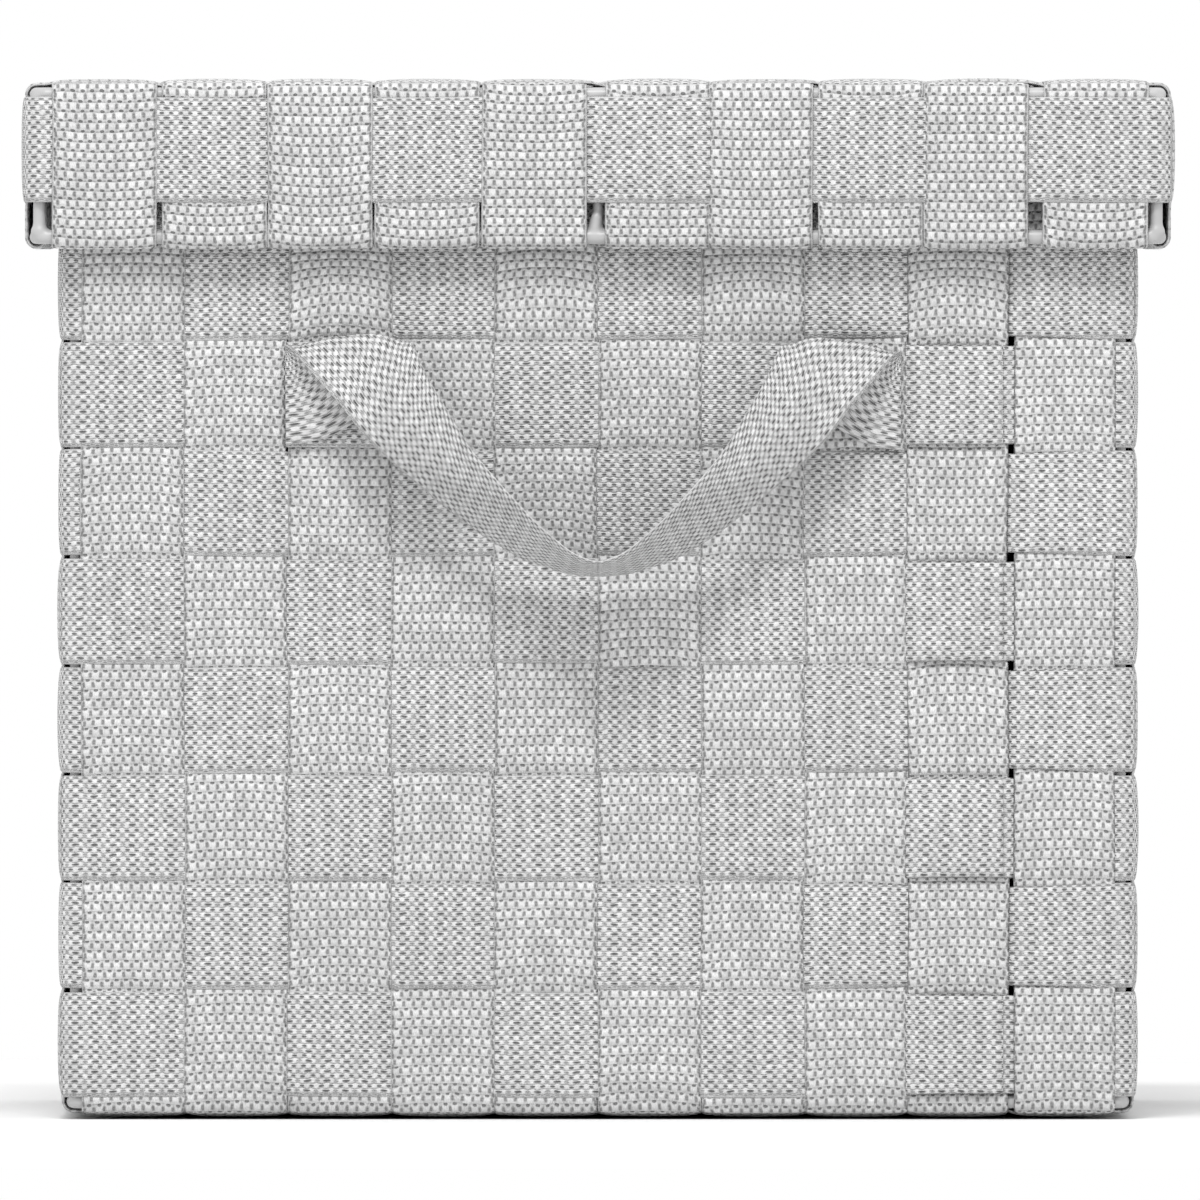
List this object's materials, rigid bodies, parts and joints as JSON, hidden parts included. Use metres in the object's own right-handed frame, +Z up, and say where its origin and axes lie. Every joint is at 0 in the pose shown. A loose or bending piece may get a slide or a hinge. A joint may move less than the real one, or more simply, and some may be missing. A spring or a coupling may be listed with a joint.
{
  "type": "fabric storage bin",
  "caption": "Square storage bin woven from grey webbing straps over a coated wire frame, with a strap handle on the front and a lift-off woven lid",
  "frame": {"origin": "middle of the base, on the surface the bin stands on", "axes": "+Z up, front with the handle towards -Y, +X to the right seen from the front"},
  "size_m": [0.2776, 0.2961, 0.25],
  "materials": {
    "webbing": "matte woven",
    "frame_coating": "satin"
  },
  "bodies": {
    "bin": {"bin_strap_front_back_01": "webbing", "bin_strap_front_back_02": "webbing", "bin_strap_front_back_03": "webbing", "bin_strap_front_back_04": "webbing", "bin_strap_front_back_05": "webbing", "bin_strap_front_back_06": "webbing", "bin_strap_front_back_07": "webbing", "bin_strap_front_back_08": "webbing", "bin_strap_front_back_09": "webbing", "bin_strap_front_back_10": "webbing", "bin_strap_side_side_01": "webbing", "bin_strap_side_side_02": "webbing", "bin_strap_side_side_03": "webbing", "bin_strap_side_side_04": "webbing", "bin_strap_side_side_05": "webbing", "bin_strap_side_side_06": "webbing", "bin_strap_side_side_07": "webbing", "bin_strap_side_side_08": "webbing", "bin_strap_side_side_09": "webbing", "bin_strap_side_side_10": "webbing", "bin_hoop_01": "webbing", "bin_hoop_02": "webbing", "bin_hoop_03": "webbing", "bin_hoop_04": "webbing", "bin_hoop_05": "webbing", "bin_hoop_06": "webbing", "bin_hoop_07": "webbing", "bin_hoop_08": "webbing", "bin_hoop_09": "webbing", "bin_frame_bottom_ring": "frame_coating", "bin_frame_top_ring": "frame_coating", "bin_frame_corner_posts": "frame_coating", "handle_end_left": "webbing", "handle_end_right": "webbing"},
    "lid": {"lid_strap_front_back_01": "webbing", "lid_strap_front_back_02": "webbing", "lid_strap_front_back_03": "webbing", "lid_strap_front_back_04": "webbing", "lid_strap_front_back_05": "webbing", "lid_strap_front_back_06": "webbing", "lid_strap_front_back_07": "webbing", "lid_strap_front_back_08": "webbing", "lid_strap_front_back_09": "webbing", "lid_strap_front_back_10": "webbing", "lid_strap_side_side_01": "webbing", "lid_strap_side_side_02": "webbing", "lid_strap_side_side_03": "webbing", "lid_strap_side_side_04": "webbing", "lid_strap_side_side_05": "webbing", "lid_strap_side_side_06": "webbing", "lid_strap_side_side_07": "webbing", "lid_strap_side_side_08": "webbing", "lid_strap_side_side_09": "webbing", "lid_strap_side_side_10": "webbing", "lid_hoop": "webbing", "lid_frame_bottom_ring": "frame_coating", "lid_frame_top_ring": "frame_coating", "lid_frame_corner_posts": "frame_coating", "lid_frame_middle_posts": "frame_coating"},
    "handle": {"handle_strap": "webbing"}
  },
  "joints": [
    {"name": "lid_lift", "type": "slide", "parent": "bin", "child": "lid", "axis": [0, 0, 1], "range_m": [0, 0.12]},
    {"name": "handle_swing", "type": "hinge", "parent": "bin", "child": "handle", "pos_m": [0, -0.1421, 0.18], "axis": [-1, 0, 0], "range_deg": [0, 90]}
  ]
}
